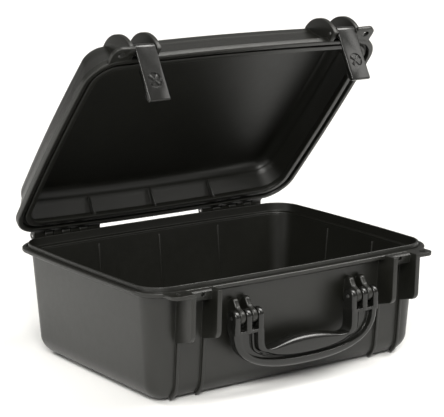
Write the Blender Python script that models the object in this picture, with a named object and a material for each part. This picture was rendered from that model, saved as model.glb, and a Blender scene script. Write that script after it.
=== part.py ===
"""A hard equipment case: a moulded tub and lid joined by a knuckle hinge, with two latches and a handle.

Lengths are in millimetres and angles in degrees; add_solid() turns them into metres. The case
stands on its underside at z = 0, +X is to its right, the front with the handle faces -Y and the
hinge runs along X at the back. The lid and the latches are described as on the closed case, and
hang from empties on their axes that turn them to where they rest: lid part open, latches hanging.
"""

import math

import bmesh
import bpy
from mathutils import Vector

MM = 0.001

# Plan of both shells, over the rim bead
WIDTH = 370.0
DEPTH = 272.0
CORNER_RADIUS = 30.5
CORNER_LOSS = 0.7  # how much tighter the corner gets for each millimetre of inset
SMALLEST_CORNER = 6.0
CROWN = 4.6  # how far each long rim edge bulges at its middle
FLOOR_CROWN = 0.6
CORNER_STEPS = 7
LONG_SIDE_STEPS = 8
SHORT_SIDE_STEPS = 6

# Base shell
RIM_Z = 120.0
BEAD_UNDERSIDE_Z = 115.3
WALL_TOP_Z = 112.0
WALL_TOP_INSET = 9.5
WALL_FOOT_INSET = 15.8
FOOT_RADIUS = 22.0
FLOOR_THICKNESS = 3.6
WALL_THICKNESS = 3.3
LIP_TOP_Z = 124.3
LIP_OUTER_INSET = 5.9
LIP_INNER_INSET = 8.2
BAND_BOTTOM_Z = 115.0

# Lid shell, as on the closed case
LID_RIM_Z = 120.5
LID_BEAD_TOP_Z = 127.8
LID_WALL_INSET = 4.2
LID_TOP_INSET = 14.6
LID_EDGE_RADIUS = 14.7
LID_TOP_Z = 163.0
LID_THICKNESS = 3.4
GROOVE_OUTER_INSET = 5.2
GROOVE_INNER_INSET = 8.9
GROOVE_TOP_Z = 126.3
LEDGE_INSET = 15.2
LEDGE_UNDERSIDE_Z = 121.6
LEDGE_TOP_Z = 125.9

# Gasket cord in the lid's groove
GASKET_OUTER_INSET = 5.6
GASKET_INNER_INSET = 8.5
GASKET_BOTTOM_Z = 124.7
GASKET_TOP_Z = 125.9

# Hinge
HINGE_Y = 146.0
HINGE_Z = 123.0
LID_OPEN_ANGLE = 49.3
KNUCKLE_RADIUS = 4.6
KNUCKLE_EDGES = (69.5, 85.5, 97.0, 108.0, 119.0, 130.0, 141.0, 155.5)
KNUCKLE_GAP = 0.5
HINGE_PIN_RADIUS = 1.6
HINGE_ARM_ROOT_Y = 135.5

# Latch stations: two cheeks on each shell, with the latch between them
INNER_CHEEK = (110.6, 116.2)
OUTER_CHEEK = (141.7, 147.3)
STATION_X = (INNER_CHEEK[1] + OUTER_CHEEK[0]) / 2
CHEEK_FRONT_Y = -154.4
LID_CHEEK_RADIUS = 33.0
LID_CHEEK_Y = -119.5
LID_CHEEK_Z = 128.6
RIB_WIDTH = 3.2
RIB_HEIGHT = 3.2

# Latches
LATCH_Y = -145.5
LATCH_Z = 126.5
LATCH_REST_ANGLE = 21.0
LATCH_WIDTH = 24.4
LATCH_BARREL_RADIUS = 6.5
LATCH_LENGTH = 57.0
LATCH_COVER = 2.5
LATCH_FLANGE = 1.5
LATCH_PIN_RADIUS = 1.6
DIMPLE_DROP = 35.0
DIMPLE_RADIUS = 7.8
DIMPLE_DEPTH = 1.2

# Padlock lugs beside the outer cheeks
LUG_X = 167.3
LUG_FRONT_Y = -154.8
LUG_CORNER_RADIUS = 9.0
LUG_THICKNESS = 4.0
PADLOCK_X = 156.8
PADLOCK_Y = -145.8
PADLOCK_RADIUS = 3.8

# Handle
HANDLE_Y = -143.6
HANDLE_Z = 84.5
HANDLE_KNUCKLE_RADIUS = 8.0
PLATE_KNUCKLE_RADIUS = 7.6
BOSS_Y = -133.5
BOSS_Z = 97.5
BOSS_RADIUS = 5.0
TINE_CENTRES = (60.4, 74.9, 89.3)
PLATE_CENTRES = (67.5, 82.3)
TINE_WIDTH = 6.4
PLATE_WIDTH = 6.6
ARM_TOP_Z = 71.2
HANDLE_HALF_WIDTH = 92.5
HANDLE_BOTTOM_Z = 24.0
FINGER_HALF_WIDTH = 57.2
GRIP_EDGE_Z = 43.0
GRIP_CROWN = 6.0
HANDLE_HALF_DEPTH = 8.0
PALM_LIFT = 5.4
PALM_HALF_WIDTH = 53.0
PALM_FLANGE = 12.4
CORNER_FLANGE = 1.8
ARM_FLANGE = 7.7
OUTER_FLANGE = 8.6
OUTER_POWER = 2.5
WEB_HALF = 2.2
FIN_HEIGHT = 2.8
HANDLE_PIN_RADIUS = 2.0

PIN_CLEARANCE = 0.3


def clear_scene():
    for obj in list(bpy.data.objects):
        bpy.data.objects.remove(obj)


def material(name, colour, roughness, metallic=0.0):
    made = bpy.data.materials.new(name)
    made.use_nodes = True
    shader = made.node_tree.nodes["Principled BSDF"]
    shader.inputs["Base Color"].default_value = (*colour, 1.0)
    shader.inputs["Roughness"].default_value = roughness
    shader.inputs["Metallic"].default_value = metallic
    return made


def add_empty(name, place, turn=0.0, parent=None, parent_place=(0.0, 0.0, 0.0)):
    """An empty on a joint's axis, turned about X by `turn`."""
    empty = bpy.data.objects.new(name, None)
    bpy.context.scene.collection.objects.link(empty)
    empty.parent = parent
    empty.location = (Vector(place) - Vector(parent_place)) * MM
    empty.rotation_euler.x = math.radians(turn)
    return empty


def add_solid(name, shape, finish=None, parent=None, pivot=(0.0, 0.0, 0.0), group=None):
    """One closed body from (points, faces), hung from `parent`, which stands at `pivot`."""
    points, faces = shape
    mesh = bpy.data.meshes.new(name)
    mesh.from_pydata([(Vector(p) - Vector(pivot)) * MM for p in points], [], faces)
    work = bmesh.new()
    work.from_mesh(mesh)
    bmesh.ops.recalc_face_normals(work, faces=work.faces)
    work.to_mesh(mesh)
    work.free()
    solid = bpy.data.objects.new(name, mesh)
    (group or bpy.context.scene.collection).objects.link(solid)
    solid.parent = parent
    if finish:
        mesh.materials.append(finish)
    if group:
        solid.hide_render = True
        solid.display_type = "WIRE"
    return solid


def tool_group(name):
    """A collection of helper solids that are joined to, or cut from, one part."""
    group = bpy.data.collections.new(name)
    bpy.context.scene.collection.children.link(group)
    group.hide_render = True
    return group


def combine(solid, group, operation):
    boolean = solid.modifiers.new(operation.title(), "BOOLEAN")
    boolean.operation = operation
    boolean.operand_type = "COLLECTION"
    boolean.collection = group
    boolean.solver = "EXACT"


def smooth(solid):
    solid.data.shade_smooth()
    solid.data.set_sharp_from_angle(angle=math.radians(35))


# Shapes: each returns (points, faces)


def outline(inset, z, crown):
    """A rounded rectangle `inset` inside the rim's plan, whose sides bulge by `crown`."""
    half_x = WIDTH / 2 - inset
    half_y = DEPTH / 2 - inset
    radius = max(CORNER_RADIUS - CORNER_LOSS * inset, SMALLEST_CORNER)
    flat = []
    for corner, (side_x, side_y) in enumerate(((1, 1), (-1, 1), (-1, -1), (1, -1))):
        centre = Vector((side_x * (half_x - radius), side_y * (half_y - radius)))
        for step in range(CORNER_STEPS + 1):
            angle = math.radians(90 * (corner + step / CORNER_STEPS))
            flat.append(centre + radius * Vector((math.cos(angle), math.sin(angle))))
        start = flat[-1]
        next_side = ((-1, 1), (-1, -1), (1, -1), (1, 1))[corner]
        along = LONG_SIDE_STEPS if corner % 2 == 0 else SHORT_SIDE_STEPS
        end = Vector((next_side[0] * (half_x - radius), next_side[1] * (half_y - radius)))
        if corner % 2 == 0:
            end.y = start.y
        else:
            end.x = start.x
        flat += [start.lerp(end, step / along) for step in range(1, along)]
    points = []
    for x, y in flat:
        push_y = crown * (1 - (x / half_x) ** 2) * ramp(abs(y) / half_y)
        push_x = crown * DEPTH / WIDTH * (1 - (y / half_y) ** 2) * ramp(abs(x) / half_x)
        points.append((x + math.copysign(push_x, x), y + math.copysign(push_y, y), z))
    return points


def ramp(share):
    return max(0.0, min(1.0, 2 * share - 1))


def loft(rings, closed=False):
    """Skin over rings of equal length, capped at both ends unless the rings close on themselves."""
    count = len(rings[0])
    points = [point for one in rings for point in one]
    faces = []
    for index in range(len(rings) if closed else len(rings) - 1):
        low = index * count
        high = (index + 1) % len(rings) * count
        for step in range(count):
            after = (step + 1) % count
            faces.append((low + step, low + after, high + after, high + step))
    if not closed:
        faces.append(tuple(range(count)))
        faces.append(tuple(range(len(points) - count, len(points))))
    return points, faces


def prism_x(profile, x_low, x_high):
    """A (y, z) profile drawn out along X."""
    return loft([[(x, y, z) for y, z in profile] for x in (x_low, x_high)])


def prism_z(profile, z_low, z_high):
    """An (x, y) profile drawn out along Z."""
    return loft([[(x, y, z) for x, y in profile] for z in (z_low, z_high)])


def prism_y(profile, y_low, y_high):
    """An (x, z) profile drawn out along Y."""
    return loft([[(x, y, z) for x, z in profile] for y in (y_low, y_high)])


def arc(centre, radius, start, end, steps):
    """Points on an arc, from the `start` angle to the `end` angle."""
    angles = [math.radians(start + (end - start) * step / steps) for step in range(steps + 1)]
    return [(centre[0] + radius * math.cos(a), centre[1] + radius * math.sin(a)) for a in angles]


def circle(centre, radius, steps=16):
    return arc(centre, radius, 0, 360, steps)[:-1]


def mirrored(low, high, side):
    """An x range on the right (side 1) or left (side -1)."""
    return (low, high) if side > 0 else (-high, -low)


# Base shell


def crown_at(z):
    return FLOOR_CROWN + (CROWN - FLOOR_CROWN) * min(z / RIM_Z, 1.0)


def wall_inset(z):
    share = (z - FOOT_RADIUS) / (WALL_TOP_Z - FOOT_RADIUS)
    return WALL_FOOT_INSET + (WALL_TOP_INSET - WALL_FOOT_INSET) * share


def front_wall_y(z, x):
    """The outer face of the front wall at this height and distance from the middle."""
    bulge = crown_at(z) * (1 - (x / (WIDTH / 2)) ** 2)
    return -(DEPTH / 2 - wall_inset(z) + bulge)


def base_profile():
    """(inset, z) from the middle of the underside, out and up over the rim, and down inside."""
    foot = [
        (WALL_FOOT_INSET + FOOT_RADIUS - y, z)
        for y, z in arc((0, FOOT_RADIUS), FOOT_RADIUS, -90, 0, 6)
    ]
    rim = [
        (WALL_TOP_INSET, WALL_TOP_Z),
        (8.6, 114.6),
        (7.2, BEAD_UNDERSIDE_Z),
        (0.9, BEAD_UNDERSIDE_Z),
        (0.0, BEAD_UNDERSIDE_Z + 1.0),
        (0.0, RIM_Z - 1.0),
        (0.9, RIM_Z),
        (4.2, RIM_Z),
        (4.5, RIM_Z - 1.1),
        (LIP_OUTER_INSET - 0.2, RIM_Z - 1.1),
        (LIP_OUTER_INSET, LIP_TOP_Z - 0.5),
        (LIP_OUTER_INSET + 0.5, LIP_TOP_Z),
        (LIP_INNER_INSET - 0.5, LIP_TOP_Z),
        (LIP_INNER_INSET, LIP_TOP_Z - 0.5),
        (LIP_INNER_INSET + 0.2, BAND_BOTTOM_Z),
        (WALL_TOP_INSET + WALL_THICKNESS - 0.4, BAND_BOTTOM_Z - 0.8),
        (WALL_TOP_INSET + WALL_THICKNESS, WALL_TOP_Z),
    ]
    inner_radius = FOOT_RADIUS - WALL_THICKNESS
    inside = [
        (WALL_FOOT_INSET + WALL_THICKNESS + inner_radius - y, z)
        for y, z in arc((0, FOOT_RADIUS), inner_radius, 0, -90, 5)
    ]
    return foot, rim, inside


def base_body():
    foot, rim, inside = base_profile()
    rings = [outline(inset, z, crown_at(z)) for inset, z in foot + rim + inside]
    return loft(rings)


def cheek_profile(x):
    """Side view of a base cheek: root inside the wall, straight front, rounded lower end."""
    root = [(-133.5, RIM_Z - 0.4), (-133.5, 114.0)]
    root += [(front_wall_y(z, x) + 1.6, z) for z in (111.0, 88.0, 64.0)]
    lower = [(front_wall_y(64.0, x) - 3.0, 64.0), (-141.0, 67.6)]
    nose = arc((-142.9, 77.6), 9.8, -120, -175, 4)
    return root + lower + nose + [(CHEEK_FRONT_Y, RIM_Z - 0.4)]


def rib_profile(x):
    """Side view of the narrow rib that runs from a cheek down the wall and under the foot."""
    foot_y = -(DEPTH / 2 - WALL_FOOT_INSET - FOOT_RADIUS) - 0.5
    outer_radius = FOOT_RADIUS + RIB_HEIGHT
    reach = 57.0
    outside = [(front_wall_y(z, x) - RIB_HEIGHT, z) for z in (72.0, 47.0)]
    outside += arc((foot_y, FOOT_RADIUS), outer_radius, 180, 180 + reach, 5)
    inside = arc((foot_y, FOOT_RADIUS), FOOT_RADIUS - 1.8, 180 + reach, 180, 5)
    inside += [(front_wall_y(z, x) + 1.6, z) for z in (47.0, 72.0)]
    return outside + inside


def keeper_profile():
    """Side view of the bar that a latch hooks under; its front slopes back below."""
    return [
        (-133.5, RIM_Z - 0.6),
        (-142.6, RIM_Z - 0.6),
        (-145.2, RIM_Z - 2.4),
        (-142.5, 108.8),
        (-141.9, 108.2),
        (-139.6, 108.2),
        (-138.4, 111.5),
        (-133.5, 114.6),
    ]


def lug_profile(side):
    """Plan of a padlock lug, from the outer cheek round to the rim's corner."""
    corner = (LUG_X - LUG_CORNER_RADIUS, LUG_FRONT_Y + LUG_CORNER_RADIUS)
    plan = [(OUTER_CHEEK[0] + 0.6, -133.5), (OUTER_CHEEK[0] + 0.6, LUG_FRONT_Y + 0.4)]
    plan += arc(corner, LUG_CORNER_RADIUS, -90, 0, 5)
    plan += [(LUG_X, -130.6), (158.0, -132.4)]
    return [(side * x, y) for x, y in plan]


def bracket_profile():
    """Side view of a handle bracket plate: a boss by the wall, dipping out to its knuckle."""
    knuckle = arc((HANDLE_Y, HANDLE_Z), PLATE_KNUCKLE_RADIUS, -99, -258, 9)
    boss = arc((BOSS_Y, BOSS_Z), BOSS_RADIUS, 158, 60, 6)
    return [(-126.2, 74.0), *knuckle, (-141.2, 94.0), *boss, (-126.2, BOSS_Z - 1.0)]


def base_knuckle_profile():
    """Side view of a base hinge knuckle and its arm, which leaves the bead below the lid."""
    barrel = arc((HINGE_Y, HINGE_Z), KNUCKLE_RADIUS, 195, -90, 14)
    return [
        (HINGE_ARM_ROOT_Y, BEAD_UNDERSIDE_Z + 0.5),
        (HINGE_ARM_ROOT_Y, RIM_Z - 0.3),
        (HINGE_Y - 5.0, RIM_Z - 0.3),
        *barrel,
    ]


def lid_knuckle_profile():
    """Side view of a lid hinge knuckle and its arm, on the closed case."""
    barrel = arc((HINGE_Y, HINGE_Z), KNUCKLE_RADIUS, 95, -145, 13)
    return [
        (HINGE_ARM_ROOT_Y, LID_RIM_Z + 0.6),
        (HINGE_ARM_ROOT_Y, LID_BEAD_TOP_Z - 0.6),
        *barrel,
        (HINGE_Y - 5.0, LID_RIM_Z + 0.6),
    ]


def knuckle_ranges(first):
    """x ranges of every other knuckle on the right, from knuckle `first`."""
    for index in range(first, len(KNUCKLE_EDGES) - 1, 2):
        yield KNUCKLE_EDGES[index] + KNUCKLE_GAP / 2, KNUCKLE_EDGES[index + 1] - KNUCKLE_GAP / 2


def add_wall_ribs(group):
    """Thin upright ribs on the inside of the base's walls."""
    for x in (-81.0, 0.0, 81.0):
        for side in (-1, 1):
            faces = []
            for z in (108.0, 30.0):
                wall = DEPTH / 2 - wall_inset(z) - WALL_THICKNESS
                wall += crown_at(z) * (1 - (x / (WIDTH / 2)) ** 2)
                faces.append((side * (wall - 1.2), z))
                faces.append((side * (wall + 1.5), z))
            profile = [faces[0], faces[1], faces[3], faces[2]]
            add_solid("wall_rib", prism_x(profile, x - 1.1, x + 1.1), group=group)
    for y in (-42.0, 38.0):
        for side in (-1, 1):
            faces = []
            for z in (108.0, 30.0):
                wall = WIDTH / 2 - wall_inset(z) - WALL_THICKNESS
                wall += crown_at(z) * DEPTH / WIDTH * (1 - (y / (DEPTH / 2)) ** 2)
                faces.append((side * (wall - 1.2), z))
                faces.append((side * (wall + 1.5), z))
            profile = [faces[0], faces[1], faces[3], faces[2]]
            add_solid("wall_rib", prism_y(profile, y - 1.1, y + 1.1), group=group)


def add_base_fittings(group):
    """Everything moulded onto the tub: cheeks, keepers, lugs, brackets and hinge knuckles."""
    lug_low = BEAD_UNDERSIDE_Z + 0.4
    for side in (-1, 1):
        for low, high in (INNER_CHEEK, OUTER_CHEEK):
            middle = (low + high) / 2
            span = mirrored(low, high, side)
            add_solid("cheek", prism_x(cheek_profile(middle), *span), group=group)
            span = mirrored(middle - RIB_WIDTH / 2, middle + RIB_WIDTH / 2, side)
            add_solid("rib", prism_x(rib_profile(middle), *span), group=group)
        span = mirrored(INNER_CHEEK[1] - 0.8, OUTER_CHEEK[0] + 0.8, side)
        add_solid("keeper", prism_x(keeper_profile(), *span), group=group)
        span = mirrored(STATION_X - 1.3, STATION_X + 1.3, side)
        post = [(-126.0, 98.0), (-130.6, 99.0), (-131.0, 113.0), (-135.0, 115.5), (-126.0, 113.5)]
        add_solid("post", prism_x(post, *span), group=group)
        add_solid("lug", prism_z(lug_profile(side), lug_low, RIM_Z - 0.3), group=group)
        for centre in PLATE_CENTRES:
            span = mirrored(centre - PLATE_WIDTH / 2, centre + PLATE_WIDTH / 2, side)
            add_solid("bracket", prism_x(bracket_profile(), *span), group=group)
        for low, high in knuckle_ranges(1):
            span = mirrored(low, high, side)
            add_solid("knuckle", prism_x(base_knuckle_profile(), *span), group=group)


def pin_hole(group, centre, radius, low, high, side):
    span = mirrored(low - 3.0, high + 3.0, side)
    bore = prism_x(circle(centre, radius + PIN_CLEARANCE), *span)
    return add_solid("pin_hole", bore, group=group)


def padlock_hole(group, side, pivot=(0.0, 0.0, 0.0), parent=None):
    bore = prism_z(circle((side * PADLOCK_X, PADLOCK_Y), PADLOCK_RADIUS), 108.0, 132.0)
    add_solid("padlock_hole", bore, parent=parent, pivot=pivot, group=group)


def make_base(finish):
    base = add_solid("base_shell", base_body(), finish)
    fittings = tool_group("base_fittings")
    add_wall_ribs(fittings)
    add_base_fittings(fittings)
    combine(base, fittings, "UNION")
    holes = tool_group("base_holes")
    for side in (-1, 1):
        padlock_hole(holes, side)
        pin_hole(holes, (HINGE_Y, HINGE_Z), HINGE_PIN_RADIUS, *HINGE_SPAN, side)
        pin_hole(holes, (HANDLE_Y, HANDLE_Z), HANDLE_PIN_RADIUS, *HANDLE_SPAN, side)
        hole = prism_y(circle((side * (STATION_X - 1.5), 115.2), 2.2, 12), -150.0, -141.5)
        add_solid("keeper_hole", hole, group=holes)
    combine(base, holes, "DIFFERENCE")
    smooth(base)


# Lid shell


def lid_wall_inset(z):
    share = (z - LID_BEAD_TOP_Z - 1.0) / (LID_TOP_Z - LID_EDGE_RADIUS - LID_BEAD_TOP_Z - 1.0)
    return LID_WALL_INSET + (LID_TOP_INSET - LID_WALL_INSET) * share


def lid_body():
    """From the middle of the top, out and down over the bead, and up inside."""
    shoulder_z = LID_TOP_Z - LID_EDGE_RADIUS
    top = [
        (LID_TOP_INSET + LID_EDGE_RADIUS - y, z)
        for y, z in arc((0, shoulder_z), LID_EDGE_RADIUS, 90, 0, 6)
    ]
    rim = [
        (LID_WALL_INSET, LID_BEAD_TOP_Z + 1.0),
        (LID_WALL_INSET - 0.4, LID_BEAD_TOP_Z),
        (0.8, LID_BEAD_TOP_Z - 0.3),
        (0.0, LID_BEAD_TOP_Z - 1.3),
        (0.0, LID_RIM_Z + 1.0),
        (0.9, LID_RIM_Z),
        (GROOVE_OUTER_INSET, LID_RIM_Z),
        (GROOVE_OUTER_INSET, GROOVE_TOP_Z),
        (GROOVE_INNER_INSET, GROOVE_TOP_Z),
        (GROOVE_INNER_INSET + 0.2, LEDGE_UNDERSIDE_Z),
        (LEDGE_INSET - 0.8, LEDGE_UNDERSIDE_Z),
        (LEDGE_INSET, LEDGE_UNDERSIDE_Z + 0.8),
        (LEDGE_INSET, LEDGE_TOP_Z),
        (GROOVE_INNER_INSET + 0.6, LEDGE_TOP_Z + 2.4),
    ]
    inner_radius = LID_EDGE_RADIUS - LID_THICKNESS
    inside = [
        (LID_TOP_INSET + LID_THICKNESS + inner_radius - y, z)
        for y, z in arc((0, shoulder_z), inner_radius, 0, 90, 5)
    ]
    return loft([outline(inset, z, CROWN) for inset, z in top + rim + inside])


def lid_cheek_profile():
    """Side view of a lid cheek: a disc cut off at the rim, rooted inside the front wall."""
    foot_angle = math.degrees(math.asin((LID_CHEEK_Z - LID_RIM_Z - 0.3) / LID_CHEEK_RADIUS))
    nose = arc((LID_CHEEK_Y, LID_CHEEK_Z), LID_CHEEK_RADIUS, 180 + foot_angle, 92, 12)
    root = [
        (-(DEPTH / 2 - LID_TOP_INSET - 11.0), LID_TOP_Z - 1.8),
        (-(DEPTH / 2 - LID_TOP_INSET - 3.0), LID_TOP_Z - 11.0),
        (-(DEPTH / 2 - LID_WALL_INSET - 4.0), LID_BEAD_TOP_Z + 3.0),
        (-134.8, LID_BEAD_TOP_Z),
        (-134.8, LID_RIM_Z + 0.3),
    ]
    return nose + root


def add_lid_fittings(group, axis):
    """Everything moulded onto the lid: cheeks, lugs, hinge knuckles and inside fins."""

    def add(name, shape):
        add_solid(name, shape, parent=axis, pivot=HINGE_AXIS, group=group)

    for side in (-1, 1):
        for span in (INNER_CHEEK, OUTER_CHEEK):
            add("lid_cheek", prism_x(lid_cheek_profile(), *mirrored(*span, side)))
        lug_low = LID_RIM_Z + 0.3
        plan = [(x, min(y, -134.8) if abs(x) < 157 else y) for x, y in lug_profile(side)]
        add("lid_lug", prism_z(plan, lug_low, lug_low + LUG_THICKNESS))
        for low, high in knuckle_ranges(0):
            add("lid_knuckle", prism_x(lid_knuckle_profile(), *mirrored(low, high, side)))
    for x in (-81.0, 0.0, 81.0):
        for side in (-1, 1):
            foot = DEPTH / 2 - LEDGE_INSET + 3.6
            fin = [(foot, 124.6), (foot + 8.0, 127.4), (120.6, 147.0), (117.8, 146.0)]
            add("lid_fin", prism_x([(side * y, z) for y, z in fin], x - 0.8, x + 0.8))


def make_lid(finish, axis):
    lid = add_solid("lid_shell", lid_body(), finish, axis, HINGE_AXIS)
    fittings = tool_group("lid_fittings")
    add_lid_fittings(fittings, axis)
    combine(lid, fittings, "UNION")
    holes = tool_group("lid_holes")
    for side in (-1, 1):
        padlock_hole(holes, side, HINGE_AXIS, axis)
        bores = (
            ((HINGE_Y, HINGE_Z), HINGE_PIN_RADIUS, HINGE_SPAN),
            ((LATCH_Y, LATCH_Z), LATCH_PIN_RADIUS, LATCH_SPAN),
        )
        for centre, radius, (low, high) in bores:
            span = mirrored(low - 3.0, high + 3.0, side)
            bore = prism_x(circle(centre, radius + PIN_CLEARANCE), *span)
            add_solid("pin_hole", bore, parent=axis, pivot=HINGE_AXIS, group=holes)
    combine(lid, holes, "DIFFERENCE")
    smooth(lid)


def make_gasket(finish, axis):
    section = [
        (GASKET_OUTER_INSET, GASKET_BOTTOM_Z),
        (GASKET_INNER_INSET, GASKET_BOTTOM_Z),
        (GASKET_INNER_INSET, GASKET_TOP_Z),
        (GASKET_OUTER_INSET, GASKET_TOP_Z),
    ]
    rings = [outline(inset, z, CROWN) for inset, z in section]
    gasket = add_solid("lid_gasket", loft(rings, closed=True), finish, axis, HINGE_AXIS)
    smooth(gasket)


# Latches


def latch_cover_profile():
    """Side view of the latch, from its pin: barrel, long cover and inward lip."""
    front = -LATCH_BARREL_RADIUS
    back = front + LATCH_COVER
    barrel = arc((0, 0), LATCH_BARREL_RADIUS, 180, -40, 14)
    return [
        *barrel,
        (0.4, -6.7),
        (back + 0.7, -7.4),
        (back, -9.0),
        (back, 1.6 - LATCH_LENGTH),
        (back + 1.4, 2.2 - LATCH_LENGTH),
        (-0.7, 6.6 - LATCH_LENGTH),
        (0.3, 11.0 - LATCH_LENGTH),
        (1.6, 10.8 - LATCH_LENGTH),
        (0.6, 5.8 - LATCH_LENGTH),
        (-1.6, 0.6 - LATCH_LENGTH),
        (-3.6, -LATCH_LENGTH),
        (front + 0.8, -LATCH_LENGTH),
        (front, 0.9 - LATCH_LENGTH),
    ]


def latch_hook_profile():
    """Side view of the tongue that catches under the keeper bar."""
    back = LATCH_COVER - LATCH_BARREL_RADIUS
    return [(back - 0.8, -20.0), (4.8, -20.2), (5.6, -21.0), (5.2, -22.8), (back - 0.8, -23.6)]


def flange_profile():
    """Side view of a side flange behind the cover, below the keeper."""
    back = LATCH_COVER - LATCH_BARREL_RADIUS
    foot = 1.2 - LATCH_LENGTH
    return [(back - 0.8, -19.6), (-1.6, -21.6), (-1.2, -24.0), (-1.4, foot + 2.0), (back - 0.8, foot)]


def cross_arm(angle):
    """One arm of the cross in the dimple, flared outwards, as an (x, z) outline."""
    direction = Vector((math.cos(math.radians(angle)), math.sin(math.radians(angle))))
    across = Vector((-direction.y, direction.x))
    reach = DIMPLE_RADIUS - 1.0
    flare = [(-1.0, -0.6), (reach, -1.7), (reach, 1.7), (-1.0, 0.6)]
    points = [direction * along + across * wide for along, wide in flare]
    return [(p.x, p.y - DIMPLE_DROP) for p in points]


def make_latch(name, side, finish, lid_axis):
    pivot = (side * STATION_X, LATCH_Y, LATCH_Z)
    axis = add_empty(name + "_axis", pivot, LATCH_REST_ANGLE, lid_axis, HINGE_AXIS)
    half = LATCH_WIDTH / 2
    front = -LATCH_BARREL_RADIUS
    cover = prism_x(latch_cover_profile(), -half, half)
    latch = add_solid(name, cover, finish, axis)
    cuts = tool_group(name + "_cuts")
    dimple = prism_y(circle((0, -DIMPLE_DROP), DIMPLE_RADIUS, 28), front - 2.0, front + DIMPLE_DEPTH)
    add_solid("dimple", dimple, parent=axis, group=cuts)
    bore = prism_x(circle((0, 0), LATCH_PIN_RADIUS + PIN_CLEARANCE), -half - 2, half + 2)
    add_solid("pin_hole", bore, parent=axis, group=cuts)
    combine(latch, cuts, "DIFFERENCE")
    fittings = tool_group(name + "_fittings")
    add_solid("hook", prism_x(latch_hook_profile(), -8.0, 8.0), parent=axis, group=fittings)
    for low in (-half, half - LATCH_FLANGE):
        flange = prism_x(flange_profile(), low + 0.02, low + LATCH_FLANGE - 0.02)
        add_solid("flange", flange, parent=axis, group=fittings)
    for angle in (45, 135, 225, 315):
        arm = prism_y(cross_arm(angle), front + 0.2, front + DIMPLE_DEPTH + 0.6)
        add_solid("cross_arm", arm, parent=axis, group=fittings)
    combine(latch, fittings, "UNION")
    smooth(latch)


# Handle


def inner_edge(angle):
    """(x, z) on the finger opening's edge, from the top of an arm (0) to the middle (90)."""
    cosine = max(math.cos(math.radians(angle)), 0.0)
    sine = math.sin(math.radians(angle))
    x = FINGER_HALF_WIDTH * cosine ** (1 / 3)
    return x, ARM_TOP_Z - (ARM_TOP_Z - GRIP_EDGE_Z) * sine ** (1 / 3)


def outer_edge(angle, inner_x):
    """(x, z) on the handle's outline, opposite a point of the finger opening."""
    if angle < 45:
        x = HANDLE_HALF_WIDTH * math.cos(math.radians(angle)) ** (2 / OUTER_POWER)
    else:
        x = inner_x * (1 + 0.376 * inner_x / 51.0)
    share = max(1 - (x / HANDLE_HALF_WIDTH) ** OUTER_POWER, 0.0) ** (1 / OUTER_POWER)
    return x, ARM_TOP_Z - (ARM_TOP_Z - HANDLE_BOTTOM_Z) * share


def flange_depth(x, z):
    """Depth of the flange round the finger opening: leaf-shaped below the palm, even on the arms."""
    leaf = (PALM_FLANGE - CORNER_FLANGE) * max(1 - (x / PALM_HALF_WIDTH) ** 2, 0.0)
    climb = min((z - GRIP_EDGE_Z) / 8.0, 1.0)
    arm = (ARM_FLANGE - CORNER_FLANGE) * climb * climb * (3 - 2 * climb)
    return CORNER_FLANGE + max(leaf, arm)


def handle_section(angle, side):
    """An I-section across the handle: domed palm flange, web with a fin, round outer flange."""
    inner_x, inner_z = inner_edge(angle)
    outer_x, outer_z = outer_edge(angle, inner_x)
    flange = flange_depth(inner_x, inner_z)
    crown = GRIP_CROWN * (1 - (inner_x / FINGER_HALF_WIDTH) ** 2)
    inner = Vector((side * inner_x, inner_z + crown))
    outer = Vector((side * outer_x, outer_z))
    depth = (outer - inner).length
    direction = (outer - inner) / depth
    lift = 0.4 + PALM_LIFT * max(1 - (inner_x / PALM_HALF_WIDTH) ** 2, 0.0) ** 0.5
    edge = HANDLE_HALF_DEPTH
    web_start = flange + 1.0
    gap = depth - OUTER_FLANGE - 0.8 - web_start
    fin_half = WEB_HALF + FIN_HEIGHT * max(min((52 - angle) / 20, 1.0), 0.0)
    fin_start = web_start + min(1.8, 0.3 * gap)
    fin_end = web_start + min(4.4, 0.6 * gap)
    half = [
        (-lift, 0.0),
        (-0.86 * lift, 0.42 * edge),
        (-0.48 * lift, 0.78 * edge),
        (0.3, edge - 0.2),
        (0.8, edge),
        (flange, edge),
        (web_start, WEB_HALF),
        (fin_start, WEB_HALF),
        (fin_start + 0.3, fin_half),
        (fin_end - 0.3, fin_half),
        (fin_end, WEB_HALF),
        (depth - OUTER_FLANGE - 0.8, WEB_HALF),
        (depth - OUTER_FLANGE, edge - 0.3),
        (depth - 5.0, edge),
        (depth - 2.4, edge - 0.9),
        (depth - 0.7, edge - 2.8),
        (depth, edge - 5.2),
    ]
    section = [(along, y) for along, y in half] + [(along, -y) for along, y in half[:0:-1]]
    points = []
    for along, y in section:
        spot = inner + direction * along
        points.append((spot.x, HANDLE_Y + y, spot.y))
    return points


def ring_angles(arm_angles, grip_points):
    """Angles of the handle's sections: given ones on the arm, given x positions along the grip."""
    grip = [math.degrees(math.acos((x / FINGER_HALF_WIDTH) ** 3)) for x in grip_points]
    return [*arm_angles, *grip]


def tine_profile():
    """Side view of a handle tine: round over the pin, running down into the arm."""
    top = arc((HANDLE_Y, HANDLE_Z), HANDLE_KNUCKLE_RADIUS, 0, 180, 10)
    foot = HANDLE_KNUCKLE_RADIUS
    return [*top, (HANDLE_Y - foot, ARM_TOP_Z - 4.0), (HANDLE_Y + foot, ARM_TOP_Z - 4.0)]


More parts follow.
